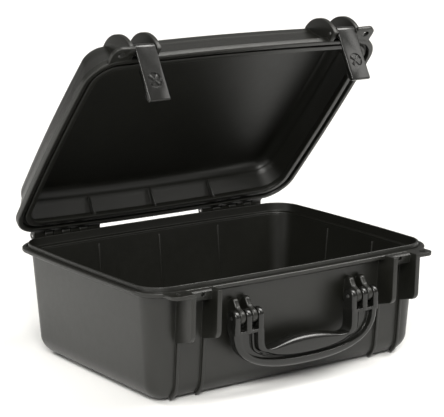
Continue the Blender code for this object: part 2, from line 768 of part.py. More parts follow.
def add_handle_fittings(group, axis, pivot):
    """Both arms' tines and the bar that joins them."""
    foot = HANDLE_HALF_DEPTH - 0.4
    low = ARM_TOP_Z - 3.4
    high = ARM_TOP_Z - 0.4
    for side in (-1, 1):
        for centre in TINE_CENTRES:
            span = mirrored(centre - TINE_WIDTH / 2, centre + TINE_WIDTH / 2, side)
            add_solid("tine", prism_x(tine_profile(), *span), None, axis, pivot, group)
        edges = ((57.8, low), (91.0, low), (91.6, high), (57.8, high))
        bar = prism_y([(side * x, z) for x, z in edges], HANDLE_Y - foot, HANDLE_Y + foot)
        add_solid("bar", bar, None, axis, pivot, group)


def make_handle(finish):
    pivot = (0.0, HANDLE_Y, HANDLE_Z)
    axis = add_empty("handle_axis", pivot)
    angles = ring_angles((0, 3, 8, 15, 24, 34), (51, 48, 43, 37, 29, 20, 10))
    rings = [handle_section(angle, -1) for angle in angles]
    rings.append(handle_section(90, 1))
    rings += [handle_section(angle, 1) for angle in reversed(angles)]
    handle = add_solid("carry_handle", loft(rings), finish, axis, pivot)
    fittings = tool_group("handle_fittings")
    add_handle_fittings(fittings, axis, pivot)
    combine(handle, fittings, "UNION")
    holes = tool_group("handle_holes")
    for side in (-1, 1):
        span = mirrored(HANDLE_SPAN[0] - 3.0, HANDLE_SPAN[1] + 3.0, side)
        bore = prism_x(circle((HANDLE_Y, HANDLE_Z), HANDLE_PIN_RADIUS + PIN_CLEARANCE), *span)
        add_solid("pin_hole", bore, None, axis, pivot, holes)
    combine(handle, holes, "DIFFERENCE")
    smooth(handle)


def make_pin(name, centre, radius, span, side, finish, parent=None, pivot=(0.0, 0.0, 0.0)):
    shape = prism_x(circle(centre, radius, 16), *mirrored(*span, side))
    pin = add_solid(name, shape, finish, parent, pivot)
    smooth(pin)


HINGE_AXIS = (0.0, HINGE_Y, HINGE_Z)
HINGE_SPAN = (KNUCKLE_EDGES[0] + 0.5, KNUCKLE_EDGES[-1] - 0.5)
LATCH_SPAN = (INNER_CHEEK[0] + 0.3, OUTER_CHEEK[1] - 0.3)
HANDLE_SPAN = (TINE_CENTRES[0] - TINE_WIDTH / 2 + 0.3, TINE_CENTRES[-1] + TINE_WIDTH / 2 - 0.3)


def main():
    clear_scene()
    shell = material("shell_plastic", (0.021, 0.022, 0.020), 0.42)
    fitting = material("fitting_plastic", (0.024, 0.024, 0.023), 0.34)
    rubber = material("seal_rubber", (0.012, 0.012, 0.012), 0.7)
    steel = material("pin_steel", (0.55, 0.55, 0.56), 0.3, 1.0)
    lid_axis = add_empty("lid_axis", HINGE_AXIS, -LID_OPEN_ANGLE)
    make_base(shell)
    make_lid(shell, lid_axis)
    make_gasket(rubber, lid_axis)
    make_handle(fitting)
    for word, side in (("left", -1), ("right", 1)):
        make_latch("latch_" + word, side, fitting, lid_axis)
        hinge_centre = (HINGE_Y, HINGE_Z)
        handle_centre = (HANDLE_Y, HANDLE_Z)
        latch_centre = (LATCH_Y, LATCH_Z)
        make_pin("hinge_pin_" + word, hinge_centre, HINGE_PIN_RADIUS, HINGE_SPAN, side, steel)
        make_pin("handle_pin_" + word, handle_centre, HANDLE_PIN_RADIUS, HANDLE_SPAN, side, steel)
        latch_pin = (latch_centre, LATCH_PIN_RADIUS, LATCH_SPAN, side, steel, lid_axis, HINGE_AXIS)
        make_pin("latch_pin_" + word, *latch_pin)


main()
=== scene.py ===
"""The looks of a hard equipment case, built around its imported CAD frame.

Lengths are in millimetres until mesh_object() turns them into metres, and angles are in degrees. The
lights, the camera and the depths of the finishes are in metres. The lid and the latches are described
as on the closed case; LID and latch_place() turn them to where they rest.
"""

import math

import bmesh
import bpy
from mathutils import Matrix, Vector


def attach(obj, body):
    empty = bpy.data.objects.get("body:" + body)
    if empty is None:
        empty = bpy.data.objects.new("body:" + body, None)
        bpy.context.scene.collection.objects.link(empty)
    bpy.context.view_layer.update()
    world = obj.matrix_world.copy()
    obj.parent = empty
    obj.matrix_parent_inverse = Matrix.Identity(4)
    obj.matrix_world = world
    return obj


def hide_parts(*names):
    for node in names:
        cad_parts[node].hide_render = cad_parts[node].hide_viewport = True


MM = 0.001

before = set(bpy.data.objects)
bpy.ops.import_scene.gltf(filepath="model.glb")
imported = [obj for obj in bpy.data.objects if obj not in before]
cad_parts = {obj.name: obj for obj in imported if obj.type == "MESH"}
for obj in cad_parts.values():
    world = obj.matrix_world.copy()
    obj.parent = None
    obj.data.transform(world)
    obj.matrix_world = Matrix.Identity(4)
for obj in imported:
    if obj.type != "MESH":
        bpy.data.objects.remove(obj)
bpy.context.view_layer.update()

# Plan of both shells
WIDTH = 370.0
DEPTH = 272.0
CORNER_RADIUS = 30.5
CORNER_LOSS = 0.7
SMALLEST_CORNER = 6.0
CROWN = 4.6
FLOOR_CROWN = 0.6
CORNER_STEPS = 18
LONG_SIDE_STEPS = 16
SHORT_SIDE_STEPS = 12

# Base shell
RIM_Z = 120.0
BEAD_UNDERSIDE_Z = 115.3
WALL_TOP_Z = 112.0
WALL_TOP_INSET = 9.5
WALL_FOOT_INSET = 15.8
FOOT_RADIUS = 22.0
WALL_THICKNESS = 3.3
LIP_TOP_Z = 124.3
LIP_OUTER_INSET = 5.9
LIP_INNER_INSET = 8.2
BAND_BOTTOM_Z = 115.0
WALL_ROOT_Y = -133.5  # where the fittings end, inside the front wall

# Ribs and fins inside both shells
INSIDE_RIB_X = (-81.0, 0.0, 81.0)
SIDE_RIB_Y = (-42.0, 38.0)
WALL_RIB_Z = (108.0, 30.0)
WALL_RIB_HALF_WIDTH = 1.1
WALL_RIB_HEIGHT = 1.2
WALL_RIB_ROOT = 1.5
FIN_HALF_WIDTH = 0.8

# Lid shell, as on the closed case
LID_RIM_Z = 120.5
LID_BEAD_TOP_Z = 127.8
LID_WALL_INSET = 4.2
LID_TOP_INSET = 14.7
LID_EDGE_RADIUS = 14.7
LID_TOP_Z = 163.0
LID_THICKNESS = 3.4
GROOVE_OUTER_INSET = 5.2
GROOVE_INNER_INSET = 8.9
GROOVE_TOP_Z = 126.3
LEDGE_INSET = 15.2
LEDGE_UNDERSIDE_Z = 121.6
LEDGE_TOP_Z = 125.9
LID_ROOT_Y = -134.8  # where the fittings end, inside the bead

# Hinge
HINGE_Y = 146.0
HINGE_Z = 123.0
LID_OPEN_ANGLE = 49.3
KNUCKLE_RADIUS = 4.6
KNUCKLE_EDGES = (69.5, 85.5, 97.0, 108.0, 119.0, 130.0, 141.0, 155.5)
KNUCKLE_GAP = 0.5
HINGE_PIN_RADIUS = 1.6
HINGE_ARM_ROOT_Y = 135.5

# Latch stations
INNER_CHEEK = (110.6, 116.2)
OUTER_CHEEK = (141.7, 147.3)
STATION_X = (INNER_CHEEK[1] + OUTER_CHEEK[0]) / 2
CHEEK_FRONT_Y = -154.4
LID_CHEEK_RADIUS = 32.9
LID_CHEEK_Y = -119.5
LID_CHEEK_Z = 128.6
RIB_WIDTH = 3.2
RIB_HEIGHT = 3.2
RIB_REACH = 57.0  # how far a rib runs round the foot
POST_HALF_WIDTH = 1.3
KEEPER_HOLE_RADIUS = 2.2

# Latches
LATCH_Y = -145.5
LATCH_Z = 126.5
LATCH_REST_ANGLE = 21.0
LATCH_WIDTH = 24.4
LATCH_BARREL_RADIUS = 6.5
LATCH_LENGTH = 57.0
LATCH_COVER = 2.5
LATCH_FLANGE = 1.5
LATCH_PIN_RADIUS = 1.6
DIMPLE_DROP = 35.0
DIMPLE_RADIUS = 7.8
DIMPLE_DEPTH = 1.2

# Padlock lugs
LUG_X = 167.3
LUG_FRONT_Y = -154.8
LUG_CORNER_RADIUS = 9.0
LUG_THICKNESS = 4.0
PADLOCK_X = 156.8
PADLOCK_Y = -145.8
PADLOCK_RADIUS = 3.8

# Handle
HANDLE_Y = -143.6
HANDLE_Z = 84.5
HANDLE_KNUCKLE_RADIUS = 8.0
PLATE_KNUCKLE_RADIUS = 7.6
BOSS_Y = -133.5
BOSS_Z = 97.5
BOSS_RADIUS = 5.0
TINE_CENTRES = (60.4, 74.9, 89.3)
PLATE_CENTRES = (67.5, 82.3)
TINE_WIDTH = 6.4
PLATE_WIDTH = 6.6
ARM_TOP_Z = 71.2
HANDLE_HALF_WIDTH = 92.5
HANDLE_BOTTOM_Z = 24.0
FINGER_HALF_WIDTH = 57.2
GRIP_EDGE_Z = 43.0
GRIP_CROWN = 6.0
HANDLE_HALF_DEPTH = 8.0
PALM_LIFT = 5.4
PALM_HALF_WIDTH = 53.0
PALM_FLANGE = 12.4
CORNER_FLANGE = 1.8
ARM_FLANGE = 7.7
OUTER_FLANGE = 8.6
OUTER_POWER = 2.5
WEB_HALF = 2.2
FIN_HEIGHT = 2.8
ARM_ANGLES = (0, 0.6, 1.5, 3, 5, 7.5, 10.5, 14, 17.5, 21, 24.5, 28, 31, 34, 36.5, 39, 42)
GRIP_START_X = 51  # half the width of the grip, where the arms' angles end
GRIP_STEP = 2
GRIP_FAN = 0.376  # how much wider the grip's outer edge is than its inner edge
HANDLE_PIN_RADIUS = 2.0

PIN_CLEARANCE = 0.3
BORE_EXTRA = 3.0

# Rounding and shading
BEVEL_SEGMENTS = 3
BEVEL_ANGLE = 32.0
SHARP_ANGLE = 38.0
WEAR_RADIUS = 0.0007

# Stage
FLOOR_REACH = 4600.0
FLOOR_TOP_Z = -0.4
FLOOR_UNDERSIDE_Z = -20.0
LIGHT_COLOUR = (1.0, 0.985, 0.95)
SKY_COLOUR = (1.0, 0.99, 0.965, 1.0)
CAMERA_LENS = 147.15
CAMERA_PLACE = (-1.1092, -1.5632, 0.5755)
CAMERA_TILT = 77.771
CAMERA_HEADING = -35.305

HINGE_SPAN = (KNUCKLE_EDGES[0] + 0.5, KNUCKLE_EDGES[-1] - 0.5)
LATCH_SPAN = (INNER_CHEEK[0] + 0.3, OUTER_CHEEK[1] - 0.3)
HANDLE_SPAN = (TINE_CENTRES[0] - TINE_WIDTH / 2 + 0.3, TINE_CENTRES[-1] + TINE_WIDTH / 2 - 0.3)


def turned(centre, angle):
    """A turn about the X line through `centre`."""
    middle = Vector((0.0, *centre))
    turn = Matrix.Rotation(math.radians(angle), 4, "X")
    return Matrix.Translation(middle) @ turn @ Matrix.Translation(-middle)


WORLD = Matrix.Identity(4)
LID = turned((HINGE_Y, HINGE_Z), -LID_OPEN_ANGLE)


def latch_place(side):
    """From a latch's own frame, with its pin at the origin, to where it hangs."""
    pin = Matrix.Translation(Vector((side * STATION_X, LATCH_Y, LATCH_Z)))
    return LID @ pin @ Matrix.Rotation(math.radians(LATCH_REST_ANGLE), 4, "X")


# Solids


def mesh_object(name, shape, place=WORLD, edge=0.0):
    """A closed body from (points, faces), with its sharp edges rounded over by `edge`."""
    points, faces = shape
    mesh = bpy.data.meshes.new(name)
    mesh.from_pydata([Vector(point) for point in points], [], faces)
    work = bmesh.new()
    work.from_mesh(mesh)
    bmesh.ops.remove_doubles(work, verts=work.verts, dist=0.001)
    bmesh.ops.recalc_face_normals(work, faces=work.faces)
    if edge:
        limit = math.radians(BEVEL_ANGLE)
        sharp = [line for line in work.edges if line.is_manifold and line.calc_face_angle() > limit]
        bmesh.ops.bevel(
            work,
            geom=sharp,
            offset=edge,
            segments=BEVEL_SEGMENTS,
            profile=0.5,
            affect="EDGES",
            clamp_overlap=True,
        )
    bmesh.ops.transform(work, matrix=Matrix.Scale(MM, 4) @ place, verts=work.verts)
    work.to_mesh(mesh)
    work.free()
    made = bpy.data.objects.new(name, mesh)
    bpy.context.scene.collection.objects.link(made)
    return made


def merge(body, added=(), cut=()):
    """Joins the `added` solids to the body, takes the `cut` ones away, and drops the tools."""
    for tools, operation in ((added, "UNION"), (cut, "DIFFERENCE")):
        if not tools:
            continue
        group = bpy.data.collections.new("tools")
        bpy.context.scene.collection.children.link(group)
        for tool in tools:
            bpy.context.scene.collection.objects.unlink(tool)
            group.objects.link(tool)
        boolean = body.modifiers.new(operation, "BOOLEAN")
        boolean.operation = operation
        boolean.operand_type = "COLLECTION"
        boolean.collection = group
        boolean.solver = "EXACT"
        bpy.context.view_layer.update()
        evaluated = body.evaluated_get(bpy.context.evaluated_depsgraph_get())
        result = bpy.data.meshes.new_from_object(evaluated)
        body.modifiers.clear()
        body.data = result
        for tool in tools:
            bpy.data.objects.remove(tool)
        bpy.data.collections.remove(group)


def show(piece, finish, body, nodes):
    """Gives a piece its finish, hangs it on its body and lets it stand for its CAD nodes."""
    piece.data.materials.clear()
    piece.data.materials.append(finish)
    for polygon in piece.data.polygons:
        polygon.material_index = 0
    piece.data.shade_smooth()
    piece.data.set_sharp_from_angle(angle=math.radians(SHARP_ANGLE))
    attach(piece, body)
    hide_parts(*nodes)


# Outlines and profiles


def ramp(share):
    """0 up to half way out from the middle, then rising to 1 at the side."""
    return max(0.0, min(1.0, 2 * share - 1))


def outline(inset, z, crown):
    """A rounded rectangle `inset` inside the rim's plan, whose sides bulge by `crown`."""
    half_x = WIDTH / 2 - inset
    half_y = DEPTH / 2 - inset
    radius = max(CORNER_RADIUS - CORNER_LOSS * inset, SMALLEST_CORNER)
    flat = []
    for corner, (side_x, side_y) in enumerate(((1, 1), (-1, 1), (-1, -1), (1, -1))):
        centre = Vector((side_x * (half_x - radius), side_y * (half_y - radius)))
        for step in range(CORNER_STEPS + 1):
            angle = math.radians(90 * (corner + step / CORNER_STEPS))
            flat.append(centre + radius * Vector((math.cos(angle), math.sin(angle))))
        start = flat[-1]
        end = Vector((-start.x, start.y)) if corner % 2 == 0 else Vector((start.x, -start.y))
        along = LONG_SIDE_STEPS if corner % 2 == 0 else SHORT_SIDE_STEPS
        flat += [start.lerp(end, step / along) for step in range(1, along)]
    points = []
    for x, y in flat:
        push_y = crown * (1 - (x / half_x) ** 2) * ramp(abs(y) / half_y)
        push_x = crown * DEPTH / WIDTH * (1 - (y / half_y) ** 2) * ramp(abs(x) / half_x)
        points.append((x + math.copysign(push_x, x), y + math.copysign(push_y, y), z))
    return points


def loft(rings, closed=False):
    """Skin over rings of equal length, capped at both ends unless the rings close on themselves."""
    count = len(rings[0])
    points = [point for one in rings for point in one]
    faces = []
    for index in range(len(rings) if closed else len(rings) - 1):
        low = index * count
        high = (index + 1) % len(rings) * count
        for step in range(count):
            after = (step + 1) % count
            faces.append((low + step, low + after, high + after, high + step))
    if not closed:
        faces.append(tuple(range(count)))
        faces.append(tuple(range(len(points) - count, len(points))))
    return points, faces


def prism_x(profile, x_low, x_high):
    """A (y, z) profile drawn out along X."""
    return loft([[(x, y, z) for y, z in profile] for x in (x_low, x_high)])


def prism_y(profile, y_low, y_high):
    """An (x, z) profile drawn out along Y."""
    return loft([[(x, y, z) for x, z in profile] for y in (y_low, y_high)])


def prism_z(profile, z_low, z_high):
    """An (x, y) profile drawn out along Z."""
    return loft([[(x, y, z) for x, y in profile] for z in (z_low, z_high)])


def arc(centre, radius, start, end, steps):
    """Points on an arc, from the `start` angle to the `end` angle."""
    angles = [math.radians(start + (end - start) * step / steps) for step in range(steps + 1)]
    return [(centre[0] + radius * math.cos(a), centre[1] + radius * math.sin(a)) for a in angles]


def circle(centre, radius, steps=32):
    """Points once round a circle."""
    return arc(centre, radius, 0, 360, steps)[:-1]


def softened(profile, radius):
    """The profile with its corners rounded, by at most `radius` or 0.45 of the shorter side."""
    steps = 3
    made = []
    count = len(profile)
    for index, point in enumerate(profile):
        here = Vector(point)
        before = Vector(profile[index - 1]) - here
        after = Vector(profile[(index + 1) % count]) - here
        bend = math.pi - before.angle(after) if before.length and after.length else 0.0
        if bend < math.radians(24):
            made.append(tuple(here))
            continue
        reach = min(radius * math.tan(bend / 2), 0.45 * before.length, 0.45 * after.length)
        first = here + before.normalized() * reach
        last = here + after.normalized() * reach
        for step in range(steps + 1):
            share = step / steps
            made.append(tuple(first.lerp(here, share).lerp(here.lerp(last, share), share)))
    return made


def soft_run(points, radius):
    """Rounds the corners of an open run of profile points, and keeps both of its ends."""
    ends = (points[0], points[-1])
    return [points[0], *[p for p in softened(points, radius) if p not in ends], points[-1]]


def mirrored(low, high, side):
    """An x range on the right (side 1) or left (side -1)."""
    return (low, high) if side > 0 else (-high, -low)


# Base shell


def crown_at(z):
    """How far the middle of a side bulges at this height."""
    return FLOOR_CROWN + (CROWN - FLOOR_CROWN) * min(z / RIM_Z, 1.0)


def wall_inset(z):
    """How far inside the rim's plan the tapered wall is at this height."""
    share = (z - FOOT_RADIUS) / (WALL_TOP_Z - FOOT_RADIUS)
    return WALL_FOOT_INSET + (WALL_TOP_INSET - WALL_FOOT_INSET) * share


def front_wall_y(z, x):
    """The outer face of the front wall at this height and distance from the middle."""
    bulge = crown_at(z) * (1 - (x / (WIDTH / 2)) ** 2)
    return -(DEPTH / 2 - wall_inset(z) + bulge)


def base_profile():
    """(inset, z) from the middle of the underside, out and up over the rim, and down inside."""
    foot = [
        (WALL_FOOT_INSET + FOOT_RADIUS - y, z)
        for y, z in arc((0, FOOT_RADIUS), FOOT_RADIUS, -90, 0, 18)
    ]
    wall = [(wall_inset(z), z) for z in (40.0, 60.0, 80.0, 98.0)]
    rim = [
        (WALL_TOP_INSET, WALL_TOP_Z),
        (8.6, 114.6),
        (7.2, BEAD_UNDERSIDE_Z),
        (0.9, BEAD_UNDERSIDE_Z),
        (0.0, BEAD_UNDERSIDE_Z + 1.0),
        (0.0, RIM_Z - 1.0),
        (0.9, RIM_Z),
        (4.2, RIM_Z),
        (4.5, RIM_Z - 1.1),
        (LIP_OUTER_INSET - 0.2, RIM_Z - 1.1),
        (LIP_OUTER_INSET, LIP_TOP_Z - 0.5),
        (LIP_OUTER_INSET + 0.5, LIP_TOP_Z),
        (LIP_INNER_INSET - 0.5, LIP_TOP_Z),
        (LIP_INNER_INSET, LIP_TOP_Z - 0.5),
        (LIP_INNER_INSET + 0.2, BAND_BOTTOM_Z),
        (WALL_TOP_INSET + WALL_THICKNESS - 0.4, BAND_BOTTOM_Z - 0.8),
        (WALL_TOP_INSET + WALL_THICKNESS, WALL_TOP_Z),
    ]
    rim = soft_run(rim, 0.7)
    inner_wall = [(wall_inset(z) + WALL_THICKNESS, z) for z in (98.0, 80.0, 60.0, 40.0)]
    inner_radius = FOOT_RADIUS - WALL_THICKNESS
    inside = [
        (WALL_FOOT_INSET + WALL_THICKNESS + inner_radius - y, z)
        for y, z in arc((0, FOOT_RADIUS), inner_radius, 0, -90, 16)
    ]
    return foot + wall + rim + inner_wall + inside


def base_body():
    """The tub itself, as one skin from the middle of its underside to the middle of its floor."""
    return loft([outline(inset, z, crown_at(z)) for inset, z in base_profile()])


def cheek_profile(x):
    """Side view of a base cheek: root inside the wall, straight front, rounded lower end."""
    root = [(WALL_ROOT_Y, RIM_Z - 0.4), (WALL_ROOT_Y, 114.0)]
    root += [(front_wall_y(z, x) + 1.6, z) for z in (111.0, 88.0, 64.0)]
    lower = [(front_wall_y(64.0, x) - 3.0, 64.0), (-141.0, 67.6)]
    nose = arc((-142.9, 77.6), 9.8, -120, -175, 10)
    return root + lower + nose + [(CHEEK_FRONT_Y, RIM_Z - 0.4)]


def rib_profile(x):
    """Side view of the narrow rib that runs from a cheek down the wall and under the foot."""
    foot_y = -(DEPTH / 2 - WALL_FOOT_INSET - FOOT_RADIUS) - 0.5
    outer_radius = FOOT_RADIUS + RIB_HEIGHT
    outside = [(front_wall_y(z, x) - RIB_HEIGHT, z) for z in (72.0, 47.0)]
    outside += arc((foot_y, FOOT_RADIUS), outer_radius, 180, 180 + RIB_REACH, 14)
    inside = arc((foot_y, FOOT_RADIUS), FOOT_RADIUS - 1.8, 180 + RIB_REACH, 180, 14)
    inside += [(front_wall_y(z, x) + 1.6, z) for z in (47.0, 72.0)]
    return outside + inside


def keeper_profile():
    """Side view of the bar that a latch hooks under; its front slopes back below."""
    return [
        (WALL_ROOT_Y, RIM_Z - 0.6),
        (-142.6, RIM_Z - 0.6),
        (-145.2, RIM_Z - 2.4),
        (-142.5, 108.8),
        (-141.9, 108.2),
        (-139.6, 108.2),
        (-138.4, 111.5),
        (WALL_ROOT_Y, 114.6),
    ]


def lug_profile(side):
    """Plan of a padlock lug, from the outer cheek round to the rim's corner."""
    corner = (LUG_X - LUG_CORNER_RADIUS, LUG_FRONT_Y + LUG_CORNER_RADIUS)
    plan = [(OUTER_CHEEK[0] + 0.6, WALL_ROOT_Y), (OUTER_CHEEK[0] + 0.6, LUG_FRONT_Y + 0.4)]
    plan += arc(corner, LUG_CORNER_RADIUS, -90, 0, 14)
    plan += [(LUG_X, -130.6), (158.0, -132.4)]
    return [(side * x, y) for x, y in plan]


def bracket_profile():
    """Side view of a handle bracket plate: a boss by the wall, dipping out to its knuckle."""
    knuckle = arc((HANDLE_Y, HANDLE_Z), PLATE_KNUCKLE_RADIUS, -99, -252, 22)
    dip = arc((-145.1, 97.9), 5.2, -58, -22, 5)
    boss = arc((BOSS_Y, BOSS_Z), BOSS_RADIUS, 168, 60, 14)
    return [(-126.2, 74.0), *knuckle, *dip, *boss, (-126.2, BOSS_Z - 1.0)]


def base_knuckle_profile():
    """Side view of a base hinge knuckle and its arm, which leaves the bead below the lid."""
    barrel = arc((HINGE_Y, HINGE_Z), KNUCKLE_RADIUS, 195, -90, 28)
    return [
        (HINGE_ARM_ROOT_Y, BEAD_UNDERSIDE_Z + 0.5),
        (HINGE_ARM_ROOT_Y, RIM_Z - 0.3),
        (HINGE_Y - 5.0, RIM_Z - 0.3),
        *barrel,
    ]


def lid_knuckle_profile():
    """Side view of a lid hinge knuckle and its arm, on the closed case."""
    barrel = arc((HINGE_Y, HINGE_Z), KNUCKLE_RADIUS, 95, -145, 26)
    return [
        (HINGE_ARM_ROOT_Y, LID_RIM_Z + 0.6),
        (HINGE_ARM_ROOT_Y, LID_BEAD_TOP_Z - 0.6),
        *barrel,
        (HINGE_Y - 5.0, LID_RIM_Z + 0.6),
    ]


def knuckle_ranges(first):
    """x ranges of every other knuckle on the right, from knuckle `first`."""
    for index in range(first, len(KNUCKLE_EDGES) - 1, 2):
        yield KNUCKLE_EDGES[index] + KNUCKLE_GAP / 2, KNUCKLE_EDGES[index + 1] - KNUCKLE_GAP / 2


def wall_rib_profile(half, bow, side):
    """(across, z) outline of an inside rib, where the wall bulges by `bow` of its crown."""
    top, bottom = WALL_RIB_Z
    upper, lower = [half - wall_inset(z) - WALL_THICKNESS + crown_at(z) * bow for z in WALL_RIB_Z]
    return [
        (side * (upper - WALL_RIB_HEIGHT), top),
        (side * (upper + WALL_RIB_ROOT), top),
        (side * (lower + WALL_RIB_ROOT), bottom),
        (side * (lower - WALL_RIB_HEIGHT), bottom),
    ]


def wall_ribs():
    """Thin upright ribs on the inside of the base's walls."""
    shapes = []
    for x in INSIDE_RIB_X:
        bow = 1 - (x / (WIDTH / 2)) ** 2
        for side in (-1, 1):
            profile = wall_rib_profile(DEPTH / 2, bow, side)
            shapes.append(prism_x(profile, x - WALL_RIB_HALF_WIDTH, x + WALL_RIB_HALF_WIDTH))
    for y in SIDE_RIB_Y:
        bow = DEPTH / WIDTH * (1 - (y / (DEPTH / 2)) ** 2)
        for side in (-1, 1):
            profile = wall_rib_profile(WIDTH / 2, bow, side)
            shapes.append(prism_y(profile, y - WALL_RIB_HALF_WIDTH, y + WALL_RIB_HALF_WIDTH))
    return [mesh_object("wall_rib", shape, edge=0.5) for shape in shapes]


def base_fittings():
    """Everything moulded onto the tub: cheeks, keepers, lugs, brackets and hinge knuckles."""
    made = []

    def add(name, shape, edge):
        made.append(mesh_object(name, shape, edge=edge))

    post = [(-126.0, 98.0), (-130.6, 99.0), (-131.0, 113.0), (-135.0, 115.5), (-126.0, 113.5)]
    for side in (-1, 1):
        for low, high in (INNER_CHEEK, OUTER_CHEEK):
            middle = (low + high) / 2
            add("cheek", prism_x(cheek_profile(middle), *mirrored(low, high, side)), 0.8)
            span = mirrored(middle - RIB_WIDTH / 2, middle + RIB_WIDTH / 2, side)
            add("rib", prism_x(rib_profile(middle), *span), 0.8)
        span = mirrored(INNER_CHEEK[1] - 0.8, OUTER_CHEEK[0] + 0.8, side)
        add("keeper", prism_x(keeper_profile(), *span), 0.4)
        span = mirrored(STATION_X - POST_HALF_WIDTH, STATION_X + POST_HALF_WIDTH, side)
        add("post", prism_x(post, *span), 0.4)
        add("lug", prism_z(lug_profile(side), BEAD_UNDERSIDE_Z + 0.4, RIM_Z - 0.3), 0.7)
        for centre in PLATE_CENTRES:
            span = mirrored(centre - PLATE_WIDTH / 2, centre + PLATE_WIDTH / 2, side)
            add("bracket", prism_x(bracket_profile(), *span), 1.7)
        for low, high in knuckle_ranges(1):
            add("knuckle", prism_x(base_knuckle_profile(), *mirrored(low, high, side)), 1.0)
    return made


def bore(centre, radius, span, side, place=WORLD):
    """The tool that cuts a pin's hole, longer than the pin at both ends."""
    low, high = mirrored(span[0] - BORE_EXTRA, span[1] + BORE_EXTRA, side)
    return mesh_object("bore", prism_x(circle(centre, radius + PIN_CLEARANCE), low, high), place)


def padlock_hole(side, place=WORLD):
    """The tool that cuts the shackle's hole through a lug."""
    shape = prism_z(circle((side * PADLOCK_X, PADLOCK_Y), PADLOCK_RADIUS, 40), 108.0, 132.0)
    return mesh_object("padlock_hole", shape, place)


def make_base(finish):
    base = mesh_object("base_visual", base_body())
    holes = []
    for side in (-1, 1):
        holes.append(padlock_hole(side))
        holes.append(bore((HINGE_Y, HINGE_Z), HINGE_PIN_RADIUS, HINGE_SPAN, side))
        holes.append(bore((HANDLE_Y, HANDLE_Z), HANDLE_PIN_RADIUS, HANDLE_SPAN, side))
        rim = circle((side * (STATION_X - 1.5), 115.2), KEEPER_HOLE_RADIUS, 24)
        hole = prism_y(rim, -150.0, -141.5)
        holes.append(mesh_object("keeper_hole", hole))
    merge(base, wall_ribs() + base_fittings(), holes)
    show(base, finish, "base", ["base_shell"])


# Lid shell


def lid_wall_inset(z):
    """How far inside the rim's plan the lid's tapered wall is, at this height on the closed case."""
    share = (z - LID_BEAD_TOP_Z - 1.0) / (LID_TOP_Z - LID_EDGE_RADIUS - LID_BEAD_TOP_Z - 1.0)
    return LID_WALL_INSET + (LID_TOP_INSET - LID_WALL_INSET) * share


def lid_body():
    """From the middle of the top, out and down over the bead, and up inside."""
    shoulder_z = LID_TOP_Z - LID_EDGE_RADIUS
    top = [
        (LID_TOP_INSET + LID_EDGE_RADIUS - y, z)
        for y, z in arc((0, shoulder_z), LID_EDGE_RADIUS, 90, 0, 16)
    ]
    top += [(lid_wall_inset(z), z) for z in (143.0, 137.0)]
    rim = [
        (lid_wall_inset(132.0), 132.0),
        (LID_WALL_INSET, LID_BEAD_TOP_Z + 1.0),
        (LID_WALL_INSET - 0.4, LID_BEAD_TOP_Z),
        (0.8, LID_BEAD_TOP_Z - 0.3),
        (0.0, LID_BEAD_TOP_Z - 1.3),
        (0.0, LID_RIM_Z + 1.0),
        (0.9, LID_RIM_Z),
        (GROOVE_OUTER_INSET, LID_RIM_Z),
        (GROOVE_OUTER_INSET, GROOVE_TOP_Z),
        (GROOVE_INNER_INSET, GROOVE_TOP_Z),
        (GROOVE_INNER_INSET + 0.2, LEDGE_UNDERSIDE_Z),
        (LEDGE_INSET - 0.8, LEDGE_UNDERSIDE_Z),
        (LEDGE_INSET, LEDGE_UNDERSIDE_Z + 0.8),
        (LEDGE_INSET, LEDGE_TOP_Z),
        (GROOVE_INNER_INSET + 0.6, LEDGE_TOP_Z + 2.4),
        (lid_wall_inset(132.0) + LID_THICKNESS, 132.0),
    ]
    rim = soft_run(rim, 0.6)
    inner_wall = [(lid_wall_inset(z) + LID_THICKNESS, z) for z in (137.0, 143.0)]
    inner_radius = LID_EDGE_RADIUS - LID_THICKNESS
    inside = [
        (LID_TOP_INSET + LID_THICKNESS + inner_radius - y, z)
        for y, z in arc((0, shoulder_z), inner_radius, 0, 90, 14)
    ]
    return loft([outline(inset, z, CROWN) for inset, z in top + rim + inner_wall + inside])


def lid_cheek_profile():
    """Side view of a lid cheek: a disc cut off at the rim, rooted inside the front wall."""
    foot_angle = math.degrees(math.asin((LID_CHEEK_Z - LID_RIM_Z - 0.3) / LID_CHEEK_RADIUS))
    nose = arc((LID_CHEEK_Y, LID_CHEEK_Z), LID_CHEEK_RADIUS, 180 + foot_angle, 92, 40)
    root = [
        (-(DEPTH / 2 - LID_TOP_INSET - 11.0), LID_TOP_Z - 1.8),
        (-(DEPTH / 2 - LID_TOP_INSET - 3.0), LID_TOP_Z - 11.0),
        (-(DEPTH / 2 - LID_WALL_INSET - 4.0), LID_BEAD_TOP_Z + 3.0),
        (LID_ROOT_Y, LID_BEAD_TOP_Z),
        (LID_ROOT_Y, LID_RIM_Z + 0.3),
    ]
    return nose + root


def lid_fittings():
    """Everything moulded onto the lid: cheeks, lugs, hinge knuckles and inside fins."""
    made = []

    def add(name, shape, edge):
        made.append(mesh_object(name, shape, LID, edge))

    for side in (-1, 1):
        for span in (INNER_CHEEK, OUTER_CHEEK):
            add("lid_cheek", prism_x(lid_cheek_profile(), *mirrored(*span, side)), 0.9)
        lug_low = LID_RIM_Z + 0.3
        plan = [(x, min(y, LID_ROOT_Y) if abs(x) < 157 else y) for x, y in lug_profile(side)]
        add("lid_lug", prism_z(plan, lug_low, lug_low + LUG_THICKNESS), 0.7)
        for low, high in knuckle_ranges(0):
            add("lid_knuckle", prism_x(lid_knuckle_profile(), *mirrored(low, high, side)), 1.0)
    foot = DEPTH / 2 - LEDGE_INSET + 3.6
    fin = [(foot, 124.6), (foot + 8.0, 127.4), (120.6, 147.0), (117.8, 146.0)]
    for x in INSIDE_RIB_X:
        for side in (-1, 1):
            profile = [(side * y, z) for y, z in fin]
            add("lid_fin", prism_x(profile, x - FIN_HALF_WIDTH, x + FIN_HALF_WIDTH), 0.3)
    return made


